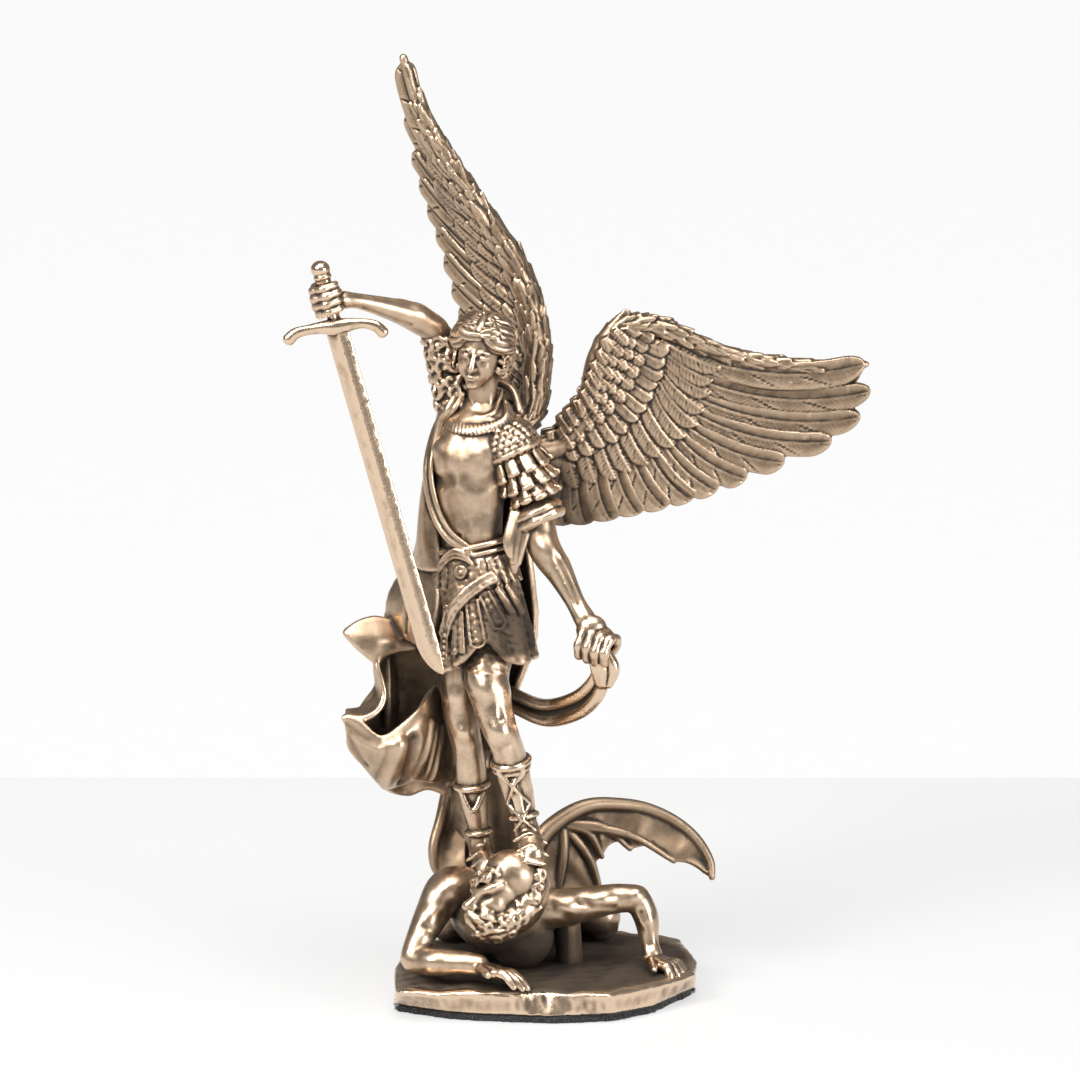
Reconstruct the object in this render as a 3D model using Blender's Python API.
"""A small cast figure of an archangel with a sword, standing on a fallen winged foe.

The figures, wings, cloak, sword and plinth are one casting, with a felt pad under it.
Metres, +Z up. The front faces -Y, and the origin is under the middle of the plinth.
"""

import math

import bmesh
import bpy
import numpy as np
from mathutils import Euler, Matrix, Vector

MM = 0.001

# Driving sizes, in metres.
STATUE_HEIGHT = 133.2 * MM
FELT_THICKNESS = 0.9 * MM
FELT_MARGIN = 0.3 * MM
GLUE_GAP = 0.3 * MM
PLINTH_WIDTH = 43.2 * MM
PLINTH_DEPTH = 34.2 * MM
PLINTH_THICKNESS = 3.4 * MM
PLINTH_CHAMFER = 0.45 * MM
BLADE_WIDTH = 3.4 * MM
BLADE_THICKNESS = 1.7 * MM
GRIP_DIAMETER = 1.7 * MM
CLOTH_THICKNESS = 1.1 * MM
FEATHER_THICKNESS = 0.9 * MM
MEMBRANE_THICKNESS = 0.9 * MM

# How finely the clay is fused into one skin, and how many faces it keeps.
CLAY_GRAIN = 0.36 * MM
CLAY_FACES = 9300

# The pose and the carving are drawn in units of the figure's own height above the plinth.
PLINTH_TOP = FELT_THICKNESS + GLUE_GAP + PLINTH_THICKNESS
FIGURE_UNITS = 128.4
UNIT = (STATUE_HEIGHT - PLINTH_TOP) / FIGURE_UNITS
CLOTH = CLOTH_THICKNESS / UNIT
FEATHER = FEATHER_THICKNESS / UNIT
MEMBRANE = MEMBRANE_THICKNESS / UNIT

# Corners of the plinth round its foot and round its rim, as shares of half its width and depth.
PLINTH_FOOT = (
    (-0.98, -0.62), (-0.86, -0.71), (-0.65, -0.84), (-0.47, -0.90), (-0.19, -0.95), (0.05, -0.98),
    (0.22, -0.96), (0.44, -0.91), (0.70, -0.68), (0.98, -0.13), (0.97, 0.24), (0.80, 0.72),
    (0.45, 0.97), (-0.44, 0.98), (-0.90, 0.60), (-0.98, -0.14),
)
PLINTH_RIM = (
    (-0.97, -0.86), (-0.86, -0.92), (-0.70, -0.95), (-0.47, -0.97), (-0.23, -0.97), (-0.02, -0.87),
    (0.17, -0.95), (0.41, -1.00), (0.68, -0.72), (0.98, -0.38), (1.00, 0.04), (0.90, 0.70),
    (0.46, 0.97), (-0.45, 1.00), (-0.91, 0.62), (-1.00, -0.18),
)

# The angel's chest is turned towards his right: its front and its left side as directions.
CHEST_TURN = math.radians(25)
CHEST_FRONT = Vector((-math.sin(CHEST_TURN), -math.cos(CHEST_TURN), 0))
CHEST_LEFT = Vector((math.cos(CHEST_TURN), -math.sin(CHEST_TURN), 0))

# Sections of the trunk from the hips up: centre x, y, z, then half width and half depth.
TRUNK = (
    (-8.4, 0.6, 46.0, 5.4, 4.2),
    (-9.0, 0.4, 52.0, 5.7, 4.4),
    (-10.3, -0.1, 58.5, 4.8, 3.6),
    (-10.8, -0.2, 64.0, 5.0, 3.8),
    (-10.7, -0.3, 70.0, 5.5, 4.2),
    (-9.9, -0.1, 75.0, 5.6, 4.1),
    (-9.0, 0.6, 78.4, 4.6, 3.0),
    (-8.8, 0.7, 80.2, 2.6, 2.4),
)

# The sword's line, from its pommel through the guard to the point.
POMMEL = Vector((-31.1, -5.0, 100.0))
GUARD = Vector((-28.7, -5.7, 91.2))
BLADE_TIP = Vector((-15.2, -8.8, 43.3))

HEAD_CENTRE = Vector((-9.0, -1.9, 87.6))
HEAD_TURN = Euler((math.radians(8), math.radians(9), math.radians(-16)))


def smooth_line(points, steps):
    """Points along a smooth curve through the given ones, with steps to each span."""
    points = np.array([tuple(p) for p in points], float)
    ends = np.vstack([2 * points[0] - points[1], points, 2 * points[-1] - points[-2]])
    t = np.linspace(0, 1, steps, endpoint=False)[:, None]
    spans = [
        0.5 * (2 * b + (c - a) * t + (2 * a - 5 * b + 4 * c - d) * t**2 + (3 * b - a - 3 * c + d) * t**3)
        for a, b, c, d in zip(ends, ends[1:], ends[2:], ends[3:])
    ]
    return np.vstack([*spans, points[-1:]])


def unit_rows(rows):
    """Each row scaled to length one."""
    return rows / np.maximum(np.linalg.norm(rows, axis=-1, keepdims=True), 1e-9)


def add_rings(clay, rings):
    """Skins a closed form over rings of points, each with the same count, and caps its ends."""
    loops = [[clay.verts.new(p) for p in ring] for ring in rings]
    count = len(loops[0])
    for low, high in zip(loops, loops[1:]):
        for k in range(count):
            after = (k + 1) % count
            clay.faces.new((low[k], low[after], high[after], high[k]))
    clay.faces.new(loops[0][::-1])
    clay.faces.new(loops[-1])


def add_loft(clay, stations, facing=(0, -1, 0.001), sides=12, steps=4, nose=1.0):
    """Adds a closed limb through stations of x, y, z, half width and half depth.

    The depth is measured along facing, and nose is how far the ends bulge.
    """
    line = smooth_line(stations, steps)
    centres, widths, depths = line[:, :3], line[:, 3], line[:, 4]
    tangents = unit_rows(np.gradient(centres, axis=0))
    stops = [(c, w, d, t) for c, w, d, t in zip(centres, widths, depths, tangents)]
    for angle in np.radians((35, 65, 85)):
        out, shrink = nose * math.sin(angle), math.cos(angle)
        for end, sign in ((0, -1), (-1, 1)):
            reach = sign * out * min(widths[end], depths[end])
            stop = (
                centres[end] + tangents[end] * reach,
                widths[end] * shrink,
                depths[end] * shrink,
                tangents[end],
            )
            stops.insert(0 if sign < 0 else len(stops), stop)
    turns = np.linspace(0, 2 * math.pi, sides, endpoint=False)
    rings = []
    for centre, width, depth, tangent in stops:
        across = Vector(facing) - Vector(tangent) * Vector(facing).dot(Vector(tangent))
        normal = np.array(across.normalized())
        side = np.cross(tangent, normal)
        rings.append([
            centre + side * width * math.cos(a) + normal * depth * math.sin(a) for a in turns
        ])
    add_rings(clay, rings)


def add_limb(clay, stations, flat=1.0, facing=(0, -1, 0.001), sides=10, steps=4, nose=1.0):
    """Adds a limb through stations of x, y, z and radius, flattened along facing."""
    wide = [(*tuple(s)[:3], s[3], s[3] * flat) for s in stations]
    add_loft(clay, wide, facing, sides, steps, nose)


def add_ball(clay, centre, radii, turn=(0, 0, 0)):
    """Adds an egg with three radii, turned by Euler angles in degrees."""
    spin = Euler([math.radians(a) for a in turn])
    bmesh.ops.create_icosphere(
        clay,
        subdivisions=2,
        radius=1.0,
        matrix=Matrix.LocRotScale(Vector(centre), spin, Vector(radii)),
    )


def add_sheet(clay, rows, thickness, steps=4):
    """Adds a closed slab of even thickness about a smooth surface through rows of points."""
    along = np.array([smooth_line(row, steps) for row in rows])
    grid = np.array([smooth_line(along[:, k], steps) for k in range(along.shape[1])])
    normals = unit_rows(np.cross(np.gradient(grid, axis=0), np.gradient(grid, axis=1)))
    sides = [grid + normals * thickness / 2, grid - normals * thickness / 2]
    front, back = [[[clay.verts.new(p) for p in row] for row in side] for side in sides]
    tall, wide = grid.shape[:2]
    for i in range(tall - 1):
        for j in range(wide - 1):
            clay.faces.new((front[i][j], front[i + 1][j], front[i + 1][j + 1], front[i][j + 1]))
            clay.faces.new((back[i][j], back[i][j + 1], back[i + 1][j + 1], back[i + 1][j]))
    for i in range(tall - 1):
        clay.faces.new((front[i][0], back[i][0], back[i + 1][0], front[i + 1][0]))
        clay.faces.new((front[i][-1], front[i + 1][-1], back[i + 1][-1], back[i][-1]))
    for j in range(wide - 1):
        clay.faces.new((front[0][j], front[0][j + 1], back[0][j + 1], back[0][j]))
        clay.faces.new((front[-1][j], back[-1][j], back[-1][j + 1], front[-1][j + 1]))


def trunk_section(height):
    """Centre, half width and half depth of the angel's trunk at a height."""
    sections = np.array(TRUNK)
    x, y, width, depth = (np.interp(height, sections[:, 2], sections[:, k]) for k in (0, 1, 3, 4))
    return Vector((x, y, height)), width, depth


def on_trunk(angle, height, lift=0.0):
    """A point lift above the trunk's skin. Angle 0 is his front and 90 his left side, in degrees."""
    centre, width, depth = trunk_section(height)
    a = math.radians(angle)
    return centre + CHEST_FRONT * (depth + lift) * math.cos(a) + CHEST_LEFT * (width + lift) * math.sin(a)


def head_point(x, y, z):
    """A point in the angel's head's own frame, where -y is the way he faces."""
    return HEAD_CENTRE + HEAD_TURN.to_matrix() @ Vector((x, y, z))


def add_fist(clay, centre, axis, knuckles, size):
    """Adds a closed hand around a grip along axis, with its knuckles towards one side."""
    centre, axis = Vector(centre), Vector(axis).normalized()
    outward = (Vector(knuckles) - axis * Vector(knuckles).dot(axis)).normalized()
    across = axis.cross(outward)
    palm = centre + (across * 1.1 - outward * 0.3) * size
    reach = Vector((1.25, 1.5, 2.0)) * size
    turn = Matrix((across, outward, axis)).transposed().to_euler()
    add_ball(clay, palm, reach, [math.degrees(a) for a in turn])
    for finger in range(4):
        slide = axis * (finger - 1.5) * 1.0 * size
        bend = [math.radians(a) for a in (20, 65, 110, 160, 205)]
        stations = [
            (*(centre + slide + (across * math.cos(a) + outward * math.sin(a)) * 1.55 * size), 0.62 * size)
            for a in bend
        ]
        add_limb(clay, stations, facing=axis, sides=8, steps=3)
    thumb = [
        (*(centre + axis * 1.2 * size + (across * math.cos(a) - outward * math.sin(a)) * 1.5 * size), 0.6 * size)
        for a in (math.radians(10), math.radians(55), math.radians(110))
    ]
    add_limb(clay, thumb, facing=axis, sides=8, steps=3)


def add_open_hand(clay, wrist, heading, up, size, bend):
    """Adds a spread hand laid from the wrist along heading. bend lowers the fingertips."""
    wrist, heading, up = Vector(wrist), Vector(heading).normalized(), Vector(up).normalized()
    side = heading.cross(up).normalized()
    knuckle = wrist + heading * 2.6 * size
    palm = [(*wrist, 1.25 * size), (*(wrist + heading * 1.3 * size), 1.6 * size), (*knuckle, 1.7 * size)]
    add_limb(clay, palm, flat=0.55, facing=up, sides=10, steps=3)
    for finger in range(4):
        splay = (finger - 1.5) * 0.30
        lead = (heading + side * splay).normalized()
        base = knuckle + side * (finger - 1.5) * 0.85 * size
        length = (3.3, 3.9, 3.7, 3.0)[finger] * size
        stations = [
            (*(base + lead * length * t - up * bend * t * t * size + up * 0.35 * size * math.sin(3 * t)), r * size)
            for t, r in ((0, 0.55), (0.35, 0.52), (0.7, 0.46), (1, 0.36))
        ]
        add_limb(clay, stations, facing=up, sides=8, steps=3)
    base = wrist + heading * 1.0 * size + side * 1.1 * size
    lead = (heading * 0.8 + side).normalized()
    thumb = [(*(base + lead * t * size - up * bend * 0.12 * t * size), 0.55 * size) for t in (0, 1.2, 2.4)]
    add_limb(clay, thumb, facing=up, sides=8, steps=3)


def build_trunk(clay):
    """The angel's chest, belly and hips, with the cuirass's chest muscles and collar."""
    add_loft(clay, TRUNK, facing=CHEST_FRONT, sides=16, steps=5, nose=0.4)
    for side in (-1, 1):
        add_ball(clay, on_trunk(34 * side, 73.4, -1.4), (2.8, 1.8, 2.6), (0, 0, -25))
    for side in (-1, 1):
        add_limb(clay, [
            (*on_trunk(100 * side, 76.5, -1.5), 2.4),
            (*on_trunk(125 * side, 77.8, -1.8), 2.4),
        ])
    for low, lift in ((79.6, 0.1), (78.2, 0.15)):
        collar = [
            (*on_trunk(a, low - 0.9 * math.cos(math.radians(a)), lift), 0.6) for a in range(-80, 81, 20)
        ]
        add_limb(clay, collar, sides=8, steps=2)


def build_head(clay):
    """The angel's neck, head and wavy hair."""
    add_limb(clay, [(-8.9, 0.9, 78.5, 2.4), (-8.8, 0.4, 81.5, 2.0), (-8.9, -0.8, 85.0, 2.1)], sides=12)
    add_ball(clay, head_point(0, 0.6, 1.2), (3.4, 4.1, 3.8), (8, 9, -16))
    jaw = [(0, -0.9, 1.2, 3.0), (0, -1.4, -1.0, 2.65), (0, -2.0, -3.0, 1.5)]
    add_limb(clay, [(*head_point(*j[:3]), j[3]) for j in jaw], sides=12)
    nose = [(0, -3.6, 0.6, 0.35), (0, -4.3, -0.7, 0.55)]
    add_limb(clay, [(*head_point(*n[:3]), n[3]) for n in nose], sides=6, steps=2)
    add_ball(clay, head_point(0, 1.7, 2.2), (4.2, 3.9, 3.7), (8, 9, -16))
    for k in range(15):
        turn = math.radians(-126 + 18 * k)
        drop = 3.9 - 4.2 * (1 - math.cos(turn * 0.8))
        lock = head_point(3.9 * math.sin(turn), 1.2 - 3.5 * math.cos(turn), drop + 0.4 * (k % 2))
        add_ball(clay, lock, (1.15, 1.0, 1.3), (0, 30, 40 * k))


def build_right_arm(clay):
    """The raised arm with its sleeve frill and the fist round the sword's grip."""
    add_limb(clay, [(-12.4, 2.4, 77.6, 2.7), (-13.6, 2.8, 83.5, 2.3), (-15.2, 2.2, 89.4, 2.0)])
    forearm = [
        (-15.3, 2.1, 90.2, 2.0),
        (-17.4, 1.2, 91.6, 2.0),
        (-21.9, -1.2, 93.7, 1.6),
        (-26.2, -4.0, 95.2, 1.25),
        (-28.0, -5.0, 95.4, 1.4),
    ]
    add_limb(clay, forearm)
    for ring, height in enumerate((81.4, 84.6, 87.4)):
        spread = 2.5 - 0.15 * ring
        centre = Vector((-12.9 - 0.6 * ring, 2.7, height))
        for k in range(9):
            a = 2 * math.pi * k / 9
            tip = centre + Vector((math.cos(a) * spread, math.sin(a) * spread, -1.0))
            root = centre + Vector((math.cos(a) * spread * 0.7, math.sin(a) * spread * 0.7, 1.4))
            add_limb(clay, [(*root, 0.8), (*tip, 1.0)], flat=0.6, facing=tip - centre, sides=8, steps=2)
    line = (GUARD - POMMEL).normalized()
    add_fist(clay, POMMEL + line * 4.5, line, (-0.55, -0.85, 0.1), 1.12)


def build_left_arm(clay):
    """The lowered arm: scaled shoulder guard, strips, rolled cuff, forearm and fist."""
    add_limb(clay, [(-4.2, -1.6, 75.6, 3.0), (-2.4, -2.4, 70.0, 2.7), (-0.8, -3.0, 64.0, 2.4)])
    add_ball(clay, (-4.3, -1.9, 75.0), (3.9, 3.9, 3.7), (0, 25, 0))
    down = Vector((0.26, -0.12, -0.96)).normalized()
    for ring in range(2):
        centre = Vector((-3.0, -2.2, 71.2)) + down * 3.1 * ring
        for k in range(9):
            a = 2 * math.pi * k / 9
            out = Vector((math.cos(a), math.sin(a), 0.25 * math.cos(a)))
            root, tip = centre + out * 2.5, centre + out * (3.2 + 0.4 * ring) + down * 2.9
            add_limb(clay, [(*root, 0.95), (*tip, 1.05)], flat=0.6, facing=out, sides=8, steps=2)
    cuff = [
        (*(Vector((-0.9, -3.1, 64.6)) + Vector((2.9 * math.cos(a), 2.9 * math.sin(a), 1.0 * math.cos(a)))), 1.05)
        for a in np.linspace(0, 2 * math.pi, 13)
    ]
    add_limb(clay, cuff, facing=(0, 0, 1), sides=8, steps=2)
    add_limb(clay, [(-3.0, -4.2, 66.0, 1.7), (-4.2, -5.0, 61.5, 1.6), (-4.2, -5.4, 57.5, 0.9)], flat=0.7)
    forearm = [
        (-1.0, -3.2, 64.0, 2.4),
        (-0.4, -4.0, 60.9, 2.45),
        (1.9, -5.5, 57.3, 2.0),
        (4.3, -7.4, 53.0, 1.6),
        (5.2, -8.2, 51.4, 1.7),
    ]
    add_limb(clay, forearm)
    add_fist(clay, (6.4, -9.3, 48.5), (0.75, -0.3, -0.55), (0.5, -0.55, 0.7), 1.32)
    add_limb(clay, [(8.0, -9.4, 46.4, 1.3), (8.6, -9.2, 44.6, 1.35), (8.3, -9.0, 43.2, 1.0)])


def build_legs(clay):
    """The left leg, stepping on the foe's head, and the right one on his back, both booted."""
    left = [
        (-7.4, -0.6, 48.0, 3.7),
        (-8.3, -3.8, 42.4, 3.3),
        (-7.6, -5.0, 38.9, 2.9),
        (-6.6, -6.2, 35.6, 2.55),
        (-5.3, -5.8, 32.2, 2.6),
        (-4.8, -5.0, 28.9, 2.5),
        (-4.0, -5.0, 25.2, 2.2),
        (-2.8, -5.4, 21.4, 1.9),
    ]
    right = [
        (-11.2, 1.0, 47.0, 3.6),
        (-12.0, 0.2, 38.0, 2.8),
        (-11.4, -0.4, 33.0, 2.4),
        (-10.6, 0.2, 28.6, 2.3),
        (-10.2, 1.0, 23.2, 2.0),
        (-9.5, 1.8, 17.9, 1.7),
        (-9.2, 1.8, 15.4, 1.8),
    ]
    add_limb(clay, left, sides=12)
    add_limb(clay, right, sides=12)
    add_limb(clay, [(-2.7, -5.2, 20.6, 2.1), (-2.0, -8.0, 18.7, 2.0), (-1.5, -10.2, 17.3, 1.6)], flat=0.8)
    add_limb(clay, [(-9.3, 1.4, 15.6, 1.9), (-8.7, -1.2, 14.9, 1.8), (-8.3, -3.2, 14.2, 1.5)], flat=0.8)
    for centre, radius, tilt in (
        (Vector((-5.0, -5.2, 29.8)), 2.55, -0.22),
        (Vector((-3.7, -5.1, 24.2)), 2.1, -0.15),
        (Vector((-10.2, 0.9, 23.3)), 2.1, 0.1),
        (Vector((-9.6, 1.6, 18.6)), 1.8, 0.1),
    ):
        band = [
            (*(centre + Vector((math.cos(a), math.sin(a), tilt * math.cos(a))) * radius), 0.5)
            for a in np.linspace(0, 2 * math.pi, 11)
        ]
        add_limb(clay, band, facing=(0, 0, 1), sides=6, steps=2)


def build_skirt(clay):
    """The pleated skirt, its belt, the round clasp and the short lappets over it."""
    sections = ((60.0, 4.8, 3.9), (55.0, 5.7, 4.9), (49.5, 6.3, 5.9), (44.6, 6.8, 6.4))
    rows = []
    for height, width, depth in sections:
        spread = (60.0 - height) / 15.4
        centre = Vector((-10.4 + 1.9 * spread, -0.2 - 0.8 * spread, height))
        row = []
        for angle in range(-180, 181, 15):
            a = math.radians(angle)
            pleat = 1 + 0.09 * spread * math.cos(8 * a + 0.6)
            rise = 3.4 * math.exp(-(((angle - 22) / 24) ** 2)) - 1.6 * math.exp(-(((angle + 50) / 30) ** 2))
            row.append(
                centre
                + CHEST_FRONT * depth * pleat * math.cos(a)
                + CHEST_LEFT * width * pleat * math.sin(a)
                + Vector((0, 0, spread * rise))
            )
        rows.append(row)
    add_sheet(clay, rows, CLOTH, steps=2)
    belt = [(*on_trunk(a, 59.0 + 1.4 * math.sin(math.radians(a)), 0.5), 0.9) for a in range(-180, 181, 20)]
    add_limb(clay, belt, flat=0.7, facing=(0, 0, 1), sides=8, steps=2)
    add_ball(clay, on_trunk(-14, 57.6, 1.2), (1.25, 0.9, 1.25), (0, 0, -12))
    for angle in range(-64, 65, 16):
        root, tip = on_trunk(angle, 57.6, 1.0), on_trunk(angle, 53.2, 1.5)
        face = root - trunk_section(57.6)[0]
        add_limb(clay, [(*root, 0.9), (*tip, 0.75)], flat=0.6, facing=face, sides=8, steps=2)
    sash = [(-15.2, -4.4, 46.5), (-14.6, -6.0, 51.5), (-12.4, -6.4, 55.2), (-9.0, -6.2, 58.2), (-6.0, -5.4, 59.4)]
    add_limb(clay, [(*p, 0.9) for p in sash], flat=0.7)


def folded(rows, folds, depth):
    """Rows of hanging cloth with upright folds across them that deepen towards the hem."""
    draped = []
    for i, row in enumerate(rows):
        line = smooth_line(row, 4)
        wave = np.sin(np.linspace(0, folds * 2 * math.pi, len(line)))
        line[:, 1] += depth * wave * i / (len(rows) - 1)
        draped.append(line)
    return draped


def build_cloak(clay):
    """The cloak: its edge over the chest, the fall down his back and the billow at his right."""
    edge = [
        (-12.9, 1.0, 81.0),
        on_trunk(-66, 76.5, 0.5),
        on_trunk(-58, 71.0, 0.5),
        on_trunk(-44, 65.8, 0.5),
        on_trunk(-18, 62.0, 0.5),
        on_trunk(18, 59.8, 0.6),
    ]
    add_limb(clay, [(*p, 0.62) for p in edge], sides=8)
    loop = [(-12.9, 0.8, 81.2), (-12.0, 2.6, 82.2), (-8.6, 4.4, 82.6), (-5.0, 2.8, 81.8), (-3.6, 0.6, 79.0)]
    add_limb(clay, [(*p, 0.7) for p in loop], sides=8)
    fall = (
        ((-14.2, 2.4, 78.0), (-13.0, 4.6, 79.0), (-9.0, 5.6, 79.5), (-5.0, 4.4, 78.5), (-3.0, 2.2, 75.5)),
        ((-15.6, 2.0, 66.0), (-14.2, 5.6, 66.0), (-10.0, 7.4, 66.0), (-5.6, 6.4, 66.0), (-3.2, 3.4, 65.0)),
        ((-19.0, 4.2, 56.5), (-16.0, 7.8, 55.0), (-10.6, 9.2, 54.0), (-5.4, 7.6, 54.5), (-2.0, 3.2, 56.0)),
        ((-22.6, 4.4, 49.0), (-18.4, 9.8, 45.0), (-12.2, 9.2, 43.0), (-6.2, 8.8, 43.0), (-1.4, 3.6, 46.5)),
        ((-22.4, 2.6, 40.0), (-19.4, 10.0, 35.0), (-13.4, 8.0, 32.0), (-8.0, 9.0, 33.0), (-4.4, 3.8, 38.0)),
        ((-22.6, 2.4, 29.0), (-19.0, 8.4, 25.5), (-14.0, 7.6, 24.0), (-10.2, 7.4, 24.5), (-6.8, 4.6, 30.0)),
    )
    add_sheet(clay, folded(fall, 3.5, 0.9), CLOTH, steps=2)
    tail = (
        ((-15.0, 7.6, 27.0), (-11.0, 8.2, 28.0), (-7.4, 7.2, 30.0), (-4.6, 5.8, 31.0)),
        ((-14.8, 7.0, 20.0), (-11.0, 6.8, 20.0), (-6.4, 6.2, 22.0), (-1.8, 4.6, 24.0)),
        ((-13.8, 6.8, 11.0), (-10.8, 6.2, 10.0), (-6.0, 5.2, 10.0), (-1.4, 4.4, 11.0)),
    )
    add_sheet(clay, folded(tail, 2.0, 0.8), CLOTH * 1.6, steps=2)
    pouch = (
        ((-28.8, -3.0, 36.6), (-25.6, -4.2, 34.8), (-22.8, -4.4, 34.2), (-19.6, -3.0, 35.6), (-16.6, 1.2, 40.4)),
        ((-28.0, -1.8, 33.6), (-25.2, -3.6, 31.2), (-21.6, -3.6, 31.0), (-18.0, -1.2, 32.0), (-14.2, 2.8, 34.0)),
        ((-26.2, -0.2, 29.4), (-23.6, -1.2, 27.0), (-20.4, -1.2, 26.6), (-17.0, 1.2, 27.4), (-13.4, 4.6, 28.0)),
        ((-23.4, 1.6, 25.8), (-21.8, 1.0, 24.4), (-19.6, 1.6, 23.6), (-17.0, 3.4, 23.6), (-13.6, 6.4, 24.6)),
    )
    add_sheet(clay, pouch, CLOTH, steps=3)
    lining = (
        ((-28.6, -2.6, 36.2), (-24.8, 1.4, 36.6), (-21.6, 4.4, 38.0), (-18.6, 7.6, 40.0)),
        ((-27.4, -1.4, 33.0), (-24.0, 2.0, 32.0), (-20.8, 5.0, 33.0), (-17.6, 8.4, 34.0)),
        ((-25.2, 0.6, 28.4), (-22.4, 3.0, 27.0), (-19.6, 5.6, 26.6), (-16.4, 8.0, 27.0)),
    )
    add_sheet(clay, lining, CLOTH, steps=3)
    rim = (
        ((-17.6, 3.4, 44.8), (-20.8, 2.0, 45.2), (-23.4, 0.6, 44.2), (-23.3, 0.0, 41.2), (-24.4, -1.2, 38.6),
         (-28.8, -3.0, 36.8)),
        ((-18.0, 6.0, 44.4), (-20.4, 5.0, 44.4), (-22.2, 3.6, 42.4), (-22.6, 3.2, 38.8), (-24.0, 2.2, 35.4),
         (-27.4, -0.6, 33.4)),
    )
    add_sheet(clay, rim, CLOTH * 1.3, steps=3)
    lobe = (
        ((-28.4, 1.6, 47.6), (-25.4, 2.4, 49.2), (-21.4, 3.6, 48.4), (-17.6, 4.0, 45.4)),
        ((-27.4, 0.8, 45.8), (-24.4, 0.8, 46.6), (-21.0, 2.0, 46.0), (-17.6, 3.2, 44.6)),
        ((-25.2, 0.8, 44.0), (-23.4, 0.6, 44.0), (-21.0, 1.6, 43.8), (-17.8, 3.2, 43.6)),
    )
    add_sheet(clay, lobe, CLOTH * 1.3, steps=3)
    hip = (
        ((-15.4, -0.4, 57.4), (-14.6, -2.6, 54.0), (-15.0, -4.4, 50.0), (-16.0, -4.4, 45.6)),
        ((-18.4, 3.4, 57.2), (-19.4, 1.6, 53.4), (-19.6, 0.6, 50.0), (-19.0, 0.2, 46.4)),
        ((-19.2, 5.4, 56.0), (-21.4, 5.0, 53.0), (-22.2, 4.8, 50.2), (-21.0, 5.0, 47.0)),
    )
    add_sheet(clay, hip, CLOTH * 1.3, steps=3)
    for lift in (0.85, -0.85):
        sash = [(7.9, -8.8, 44.2), (6.8, -7.6, 41.2), (4.2, -5.0, 38.3), (-0.2, -1.0, 36.4), (-5.2, 3.0, 37.6)]
        add_limb(clay, [(x - 0.25 * lift, y, z + lift, 1.12) for x, y, z in sash], steps=5)


def along(curve, share):
    """The point at a share of a curve's own points."""
    place = share * (len(curve) - 1)
    low = min(int(place), len(curve) - 2)
    return curve[low] + (curve[low + 1] - curve[low]) * (place - low)


def build_wing(clay, leading, trailing, bone, flights):
    """A feathered wing between its leading and trailing edges, carved on both faces.

    bone holds the arm's radii from the root to the tip, and flights is the count of flight feathers.
    """
    lead, trail = smooth_line(leading, 8), smooth_line(trailing, 8)
    shares = np.linspace(0, 1, len(lead))
    radii = np.interp(shares, np.linspace(0, 1, len(bone)), bone)
    inward = unit_rows(np.array([along(trail, s) for s in shares]) - lead)
    lead = lead + inward * radii[:, None]
    add_limb(clay, [(*p, r) for p, r in zip(lead[::4], radii[::4])], sides=8, steps=2)
    web = []
    for s in np.linspace(0, 1, 13):
        top, low = along(lead, 0.97 * s), along(trail, s)
        web.append([top, top * 0.5 + low * 0.5, top * 0.1 + low * 0.9])
    add_sheet(clay, web, FEATHER, steps=2)
    for count, reach, plump, lift in ((flights, 1.0, 0.82, 0.0), (flights - 1, 0.66, 0.95, 0.55), (flights, 0.40, 0.85, 0.9)):
        for k in range(count):
            share = k / (count - 1)
            tip, root = Vector(along(trail, share)), Vector(along(lead, 0.05 + (0.95 - 0.3 * reach) * share))
            before, after = along(trail, max(0, share - 0.5 / count)), along(trail, min(1, share + 0.5 / count))
            chord = tip - root
            slope = Vector(along(lead, min(1, share + 0.1)) - along(lead, max(0, share - 0.1)))
            face = slope.cross(chord).normalized()
            sweep = chord.cross(face).normalized()
            sweep = sweep if sweep.dot(slope) > 0 else -sweep
            girth = min(2.6, max(1.2, Vector(after - before).length)) * plump
            bow = -0.10 * chord.length * reach * share
            for side in (-1, 1) if lift else (1,):
                stations = [
                    (*(root + chord * reach * t + sweep * bow * 4 * t * (1 - t) + face * side * lift * (1 - 0.3 * t)), r * girth)
                    for t, r in ((0.25, 0.7), (0.6, 1.0), (0.9, 0.9), (1.0, 0.6))
                ]
                tilt = (face + sweep * 0.3 * side).normalized()
                add_limb(clay, stations, flat=FEATHER / 2 / girth, facing=tilt, sides=8, steps=3, nose=1.2)


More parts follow.
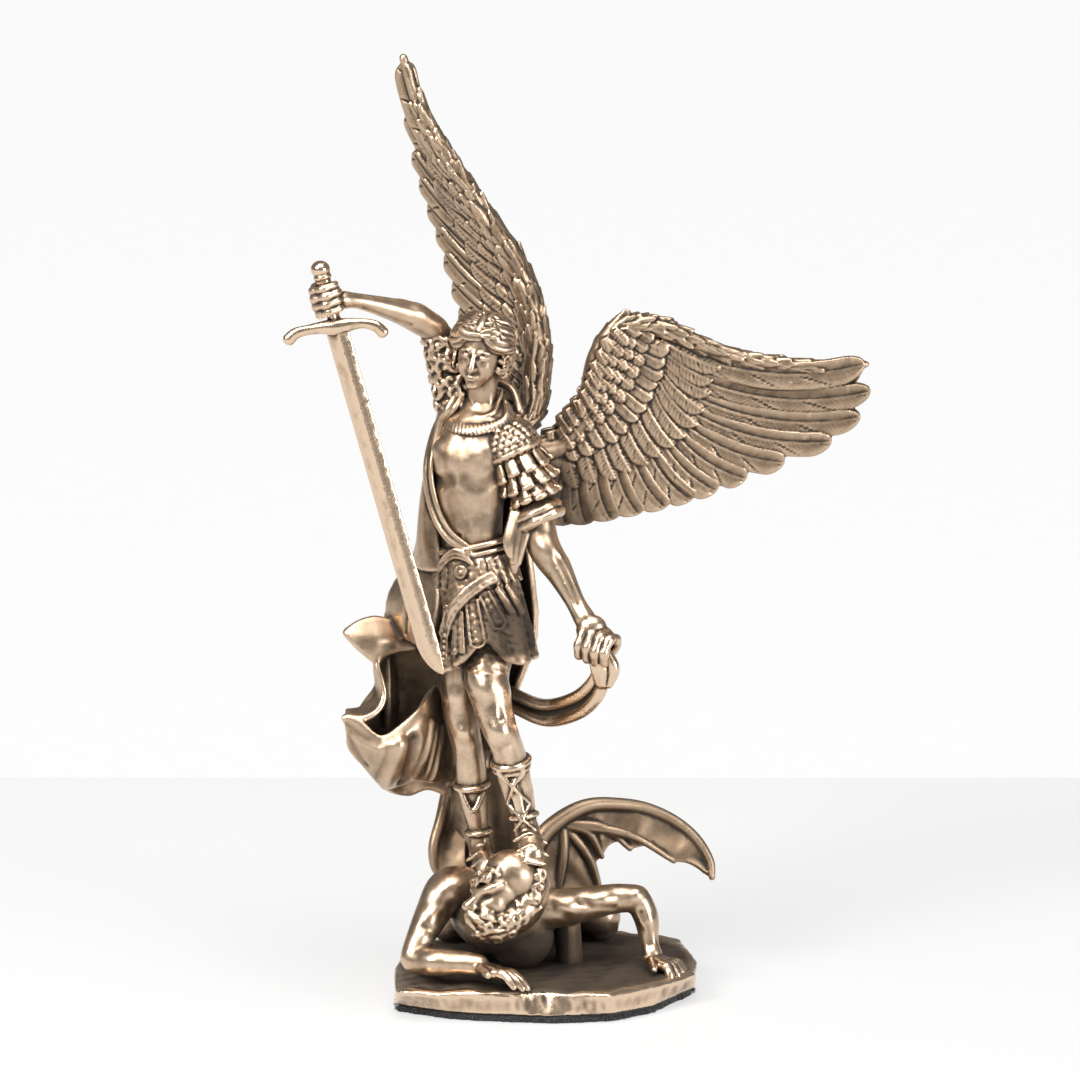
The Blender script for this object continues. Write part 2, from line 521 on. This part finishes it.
def build_wings(clay):
    """His left wing spread to the side, and the right one raised."""
    left_lead = ((-3.4, 5.4, 73.4), (1.6, 7.8, 74.6), (5.1, 8.0, 79.5), (6.5, 7.6, 86.4), (8.8, 7.5, 90.2),
                 (11.8, 7.5, 91.1), (16.2, 8.0, 90.0), (21.7, 8.5, 87.1), (27.3, 9.0, 85.2), (35.8, 9.5, 84.1),
                 (44.6, 10.0, 84.3))
    left_trail = ((1.6, 10.5, 60.6), (6.5, 11.0, 61.6), (12.5, 11.0, 63.2), (18.8, 11.0, 64.4), (25.4, 11.0, 66.4),
                  (32.0, 11.0, 69.2), (41.0, 11.0, 73.2), (45.4, 11.0, 77.6), (46.2, 10.5, 80.8), (45.2, 10.0, 84.0))
    build_wing(clay, left_lead, left_trail, (1.6, 2.0, 2.0, 1.9, 1.5, 1.2, 0.8), 15)
    right_lead = ((-5.0, 5.0, 74.6), (-1.4, 7.6, 75.6), (0.0, 8.2, 82.0), (-0.4, 8.2, 89.4), (-3.0, 8.6, 97.6),
                  (-8.2, 9.0, 105.4), (-13.0, 10.0, 112.8), (-17.2, 11.0, 120.0), (-19.8, 12.0, 127.4))
    right_trail = ((-8.0, 13.0, 78.0), (-11.0, 16.4, 84.5), (-12.0, 17.0, 91.0), (-14.0, 17.0, 98.8),
                   (-16.4, 17.0, 106.0), (-18.5, 16.0, 112.5), (-19.6, 15.0, 119.0), (-20.2, 13.4, 126.0))
    build_wing(clay, right_lead, right_trail, (1.6, 2.1, 2.1, 1.9, 1.6, 1.2, 0.8), 13)


def build_foe_body(clay):
    """The fallen foe: trunk, legs, and the arms that prop him on the plinth."""
    add_loft(clay, [
        (-5.4, -5.6, 6.2, 6.4, 4.4),
        (-6.2, -2.0, 7.6, 7.4, 6.0),
        (-6.2, 2.0, 8.2, 7.2, 5.6),
        (-4.6, 7.0, 7.6, 6.0, 5.0),
        (-2.6, 11.6, 5.4, 5.6, 4.6),
    ], facing=(0, 0, 1), sides=16, nose=0.5)
    add_ball(clay, (-3.4, -4.4, 4.6), (5.2, 3.8, 5.0))
    right_arm = [
        (-11.0, -2.6, 11.0, 3.3),
        (-13.8, -3.8, 11.2, 3.3),
        (-16.0, -6.0, 8.4, 2.6),
        (-17.8, -8.8, 5.2, 2.1),
        (-18.6, -10.0, 3.2, 2.0),
    ]
    add_limb(clay, right_arm)
    forearm = [(-18.4, -10.2, 2.9, 2.0), (-15.6, -11.6, 3.0, 2.1), (-12.0, -12.9, 3.3, 1.6), (-9.4, -13.6, 3.3, 1.35)]
    add_limb(clay, forearm)
    add_open_hand(clay, (-9.4, -13.6, 3.1), (1.0, -0.34, -0.26), (0.1, 0.2, 1), 1.15, 0.7)
    left_arm = [
        (-2.6, -3.2, 9.0, 3.4),
        (0.8, -3.6, 8.6, 3.0),
        (5.0, -3.2, 9.0, 2.5),
        (9.6, -2.6, 9.7, 2.2),
        (12.8, -2.2, 9.7, 2.0),
    ]
    add_limb(clay, left_arm)
    add_limb(clay, [(13.2, -2.3, 9.2, 1.95), (14.2, -2.6, 6.8, 1.75), (14.6, -3.4, 3.6, 1.5), (15.0, -4.2, 1.9, 1.6)])
    add_open_hand(clay, (14.4, -4.2, 1.7), (0.85, -0.45, -0.25), (0.25, 0, 1), 1.12, 1.5)
    add_limb(clay, [(0.2, 9.4, 6.0, 4.4), (4.6, 9.6, 5.6, 3.8), (8.0, 9.0, 4.0, 2.8)])
    add_limb(clay, [(8.2, 9.6, 2.6, 2.4), (5.4, 12.4, 2.0, 2.0), (1.0, 14.2, 1.4, 1.5), (-1.4, 14.6, 1.0, 1.2)])
    add_limb(clay, [(-6.4, 9.8, 5.0, 3.8), (-10.6, 10.8, 4.2, 3.0), (-14.2, 8.8, 2.8, 2.3)])
    add_limb(clay, [(-14.2, 9.0, 2.4, 2.2), (-11.4, 12.4, 1.8, 1.9), (-7.4, 14.4, 1.4, 1.4), (-5.0, 14.8, 1.0, 1.2)])
    add_limb(clay, [(3.4, -0.6, -0.5, 2.0), (3.2, -0.8, 3.0, 1.9), (2.8, -1.0, 7.6, 2.0)], sides=8)


def build_foe_head(clay):
    """The foe's bearded head, held down on its side."""
    add_limb(clay, [(-2.6, -3.0, 10.6, 3.0), (-3.4, -5.8, 12.0, 2.5), (-4.4, -7.6, 13.4, 2.6)])
    add_ball(clay, (-4.6, -8.6, 14.2), (4.2, 3.7, 3.7), (0, 40, 0))
    add_limb(clay, [(-6.2, -9.4, 13.4, 3.2), (-8.2, -10.4, 11.6, 2.7)], flat=0.95)
    add_ball(clay, (-6.6, -9.4, 10.6), (4.2, 2.6, 2.4), (0, 10, 0))
    add_limb(clay, [(-8.8, -10.6, 14.6, 0.9), (-10.6, -11.4, 13.0, 0.75), (-11.6, -11.8, 12.0, 0.9)], sides=8)
    add_limb(clay, [(-6.4, -12.0, 15.4, 0.6), (-8.6, -11.9, 14.8, 0.7), (-9.8, -11.0, 14.6, 0.5)], sides=8)
    for k in range(9):
        a = k / 8
        curl = Vector((-10.4, -11.4, 10.8)).lerp(Vector((-2.2, -8.8, 10.2)), a)
        arch = math.sin(math.pi * a)
        add_ball(clay, curl + Vector((0, -1.0, -1.6)) * arch, (1.3, 1.2, 1.6), (0, 40, 0))
    for k in range(7):
        a = k / 6
        curl = Vector((-6.6, -8.6, 17.2)).lerp(Vector((-0.9, -9.0, 12.2)), a)
        add_ball(clay, curl + Vector((1.0, 0.4, 0.8)) * math.sin(math.pi * a), (1.1, 1.4, 1.1), (0, 40, 0))


def build_bat_wing(clay, spar, ribs, root, radii):
    """A leathery wing: a spar, ribs from its root and a membrane scalloped between their tips."""
    line = smooth_line(spar, 6)
    add_limb(clay, [(*p, r) for p, r in zip(spar, np.interp(np.linspace(0, 1, len(spar)), np.linspace(0, 1, len(radii)), radii))])
    tips = [Vector(spar[-1]), *[Vector(r) for r in ribs]]
    rows = []
    for share in np.linspace(0, 1, 4 * (len(tips) - 1) + 1):
        place = share * (len(tips) - 1)
        low = min(int(place), len(tips) - 2)
        local = place - low
        edge = tips[low].lerp(tips[low + 1], local)
        top = Vector(along(line, 1 - 0.98 * share))
        edge = edge.lerp(top, 0.22 * math.sin(math.pi * local))
        rows.append([top, top.lerp(edge, 0.5) + Vector((0, 0.5, 0)) * math.sin(math.pi * local), edge])
    add_sheet(clay, rows, MEMBRANE, steps=2)
    for tip in tips[1:]:
        bow = Vector(root).lerp(tip, 0.55) + Vector((0.6, -0.5, 1.6))
        add_limb(clay, [(*root, 0.7), (*bow, 0.6), (*tip, 0.45)], sides=6)


def build_foe_wings(clay):
    """The foe's left wing spread low to the side, and the right one folded behind the angel's leg."""
    spar = ((-4.5, 1.0, 11.0), (-2.2, 3.0, 14.4), (-0.2, 4.0, 17.6), (2.8, 5.0, 19.9), (6.0, 6.0, 21.1),
            (9.5, 7.0, 21.1), (14.0, 8.0, 20.3), (18.2, 8.0, 18.5), (21.4, 7.0, 16.1), (23.4, 6.0, 13.1), (23.7, 5.2, 10.8))
    ribs = ((18.3, 6.2, 12.9), (12.0, 6.2, 14.7), (8.0, 6.0, 13.6), (8.2, 7.4, 6.4), (1.6, 5.0, 8.0))
    build_bat_wing(clay, spar, ribs, (2.4, 5.2, 18.6), (1.5, 1.4, 1.2, 1.0, 0.9, 0.8, 0.6))
    fold = (
        ((-14.0, 7.0, 23.5), (-13.0, 7.4, 21.0), (-11.0, 7.2, 20.0)),
        ((-14.8, 5.6, 19.4), (-13.6, 6.6, 17.4), (-11.2, 6.4, 17.0)),
        ((-15.8, 4.2, 15.4), (-14.4, 4.4, 14.0), (-11.4, 4.2, 14.2)),
        ((-15.2, 3.8, 11.6), (-13.6, 3.0, 11.0), (-11.0, 3.0, 11.6)),
    )
    add_sheet(clay, fold, MEMBRANE, steps=3)
    spar = [(-12.0, 5.6, 10.0), (-15.2, 4.2, 11.8), (-16.0, 4.2, 15.2), (-15.0, 5.6, 19.2), (-14.2, 7.0, 23.0), (-13.6, 7.4, 26.4)]
    add_limb(clay, [(*p, 0.8) for p in spar], sides=8)


def build_sword(clay):
    """The pommel, the grip and the arched guard."""
    line = (GUARD - POMMEL).normalized()
    add_ball(clay, POMMEL + line * 0.4, (1.35, 1.35, 1.25))
    add_limb(clay, [(*(POMMEL + line * 1.6), 1.5), (*(POMMEL + line * 2.1), 1.4)], sides=10, steps=2, nose=0.3)
    add_limb(clay, [(*POMMEL, GRIP_DIAMETER / 2 / UNIT), (*GUARD, GRIP_DIAMETER / 2 / UNIT)], sides=8, steps=2)
    guard = [(-35.2, -6.0, 90.4, 1.0), (-33.0, -6.0, 91.2, 0.85), (-28.9, -6.0, 91.8, 1.15), (-25.4, -6.0, 92.2, 0.85),
             (-22.4, -6.0, 91.2, 0.9)]
    add_limb(clay, guard, flat=0.85, sides=8)


def blade_form():
    """The blade, a flat diamond in section, from the guard to the point."""
    clay = bmesh.new()
    blade = Vector(BLADE_TIP - GUARD)
    heading = blade.normalized()
    face = Vector((-0.35, -0.94, 0.0))
    face = (face - heading * face.dot(heading)).normalized()
    side = heading.cross(face)
    half, thick = BLADE_WIDTH / 2 / UNIT, BLADE_THICKNESS / 2 / UNIT
    rings = []
    for share, spread in ((-0.01, 1.0), (0.93, 0.98), (0.965, 0.72), (0.99, 0.4), (1.0, 0.12)):
        middle = GUARD + blade * share
        rings.append([
            middle + side * half * spread,
            middle + face * thick * spread,
            middle - side * half * spread,
            middle - face * thick * spread,
        ])
    add_rings(clay, rings)
    return clay


def to_object(name, clay, colour, metallic, roughness):
    """Makes an object with its own material from a finished mesh."""
    bmesh.ops.recalc_face_normals(clay, faces=clay.faces)
    mesh = bpy.data.meshes.new(name)
    clay.to_mesh(mesh)
    clay.free()
    material = bpy.data.materials.new(name)
    material.use_nodes = True
    shader = material.node_tree.nodes["Principled BSDF"]
    shader.inputs["Base Color"].default_value = (*colour, 1)
    shader.inputs["Metallic"].default_value = metallic
    shader.inputs["Roughness"].default_value = roughness
    mesh.materials.append(material)
    made = bpy.data.objects.new(name, mesh)
    bpy.context.scene.collection.objects.link(made)
    return made


def slab(low, thickness, outlines, shrink=0.0, chamfer=0.0):
    """A slab between a foot and a rim outline, shrunk by a margin, with a chamfered top."""
    foot, rim = outlines
    half_width, half_depth = PLINTH_WIDTH / 2 - shrink, PLINTH_DEPTH / 2 - shrink
    levels = [(low, foot, 1.0), (low + thickness - chamfer, rim, 1.0)]
    if chamfer:
        levels.append((low + thickness, rim, 1.0 - chamfer / half_width))
    clay = bmesh.new()
    add_rings(clay, [
        [(x * half_width * share, y * half_depth * share, height) for x, y in outline]
        for height, outline, share in levels
    ])
    return clay


def drop_crumbs(clay, smallest):
    """Removes closed pockets and crumbs with fewer corners than smallest."""
    left = set(clay.verts)
    while left:
        island, edge = set(), {left.pop()}
        while edge:
            island |= edge
            edge = {e.other_vert(v) for v in edge for e in v.link_edges} - island
        left -= island
        if len(island) < smallest:
            bmesh.ops.delete(clay, geom=list(island), context="VERTS")


def fuse(statue):
    """Fuses the loose forms of clay into one skin, softens it and thins its faces."""
    remesh = statue.modifiers.new("fuse", "REMESH")
    remesh.mode = "VOXEL"
    remesh.voxel_size = CLAY_GRAIN
    soften = statue.modifiers.new("soften", "SMOOTH")
    soften.factor = 0.5
    soften.iterations = 2
    skin = bmesh.new()
    skin.from_object(statue, bpy.context.evaluated_depsgraph_get())
    statue.modifiers.clear()
    drop_crumbs(skin, 400)
    bmesh.ops.triangulate(skin, faces=skin.faces)
    thin = statue.modifiers.new("thin", "DECIMATE")
    thin.ratio = CLAY_FACES / len(skin.faces)
    skin.to_mesh(statue.data)
    skin.free()


def join(statue, name, clay):
    """Joins a crisp form to the statue with a Boolean union."""
    form = to_object(name, clay, (0.5, 0.36, 0.24), 1.0, 0.4)
    form.hide_render = True
    form.display_type = "WIRE"
    union = statue.modifiers.new(name, "BOOLEAN")
    union.operation = "UNION"
    union.object = form


def build_statue():
    """The whole casting: figures, cloak and wings fused, then joined to the blade and plinth."""
    clay = bmesh.new()
    for build in (build_trunk, build_head, build_right_arm, build_left_arm, build_legs, build_skirt, build_cloak,
                  build_wings, build_foe_body, build_foe_head, build_foe_wings, build_sword):
        build(clay)
    blade = blade_form()
    place = Matrix.Translation((0, 0, PLINTH_TOP)) @ Matrix.Scale(UNIT, 4)
    for form in (clay, blade):
        bmesh.ops.transform(form, matrix=place, verts=form.verts)
    statue = to_object("statue", clay, (0.55, 0.38, 0.24), 1.0, 0.35)
    fuse(statue)
    join(statue, "blade_form", blade)
    plinth = slab(FELT_THICKNESS + GLUE_GAP, PLINTH_THICKNESS, (PLINTH_FOOT, PLINTH_RIM), chamfer=PLINTH_CHAMFER)
    join(statue, "plinth_form", plinth)


def build_felt():
    """The black felt pad glued under the plinth."""
    to_object("felt_pad", slab(0.0, FELT_THICKNESS, (PLINTH_FOOT, PLINTH_FOOT), shrink=FELT_MARGIN), (0.02, 0.02, 0.02), 0.0, 0.95)


def main():
    for left in list(bpy.data.objects):
        bpy.data.objects.remove(left)
    build_statue()
    build_felt()


main()
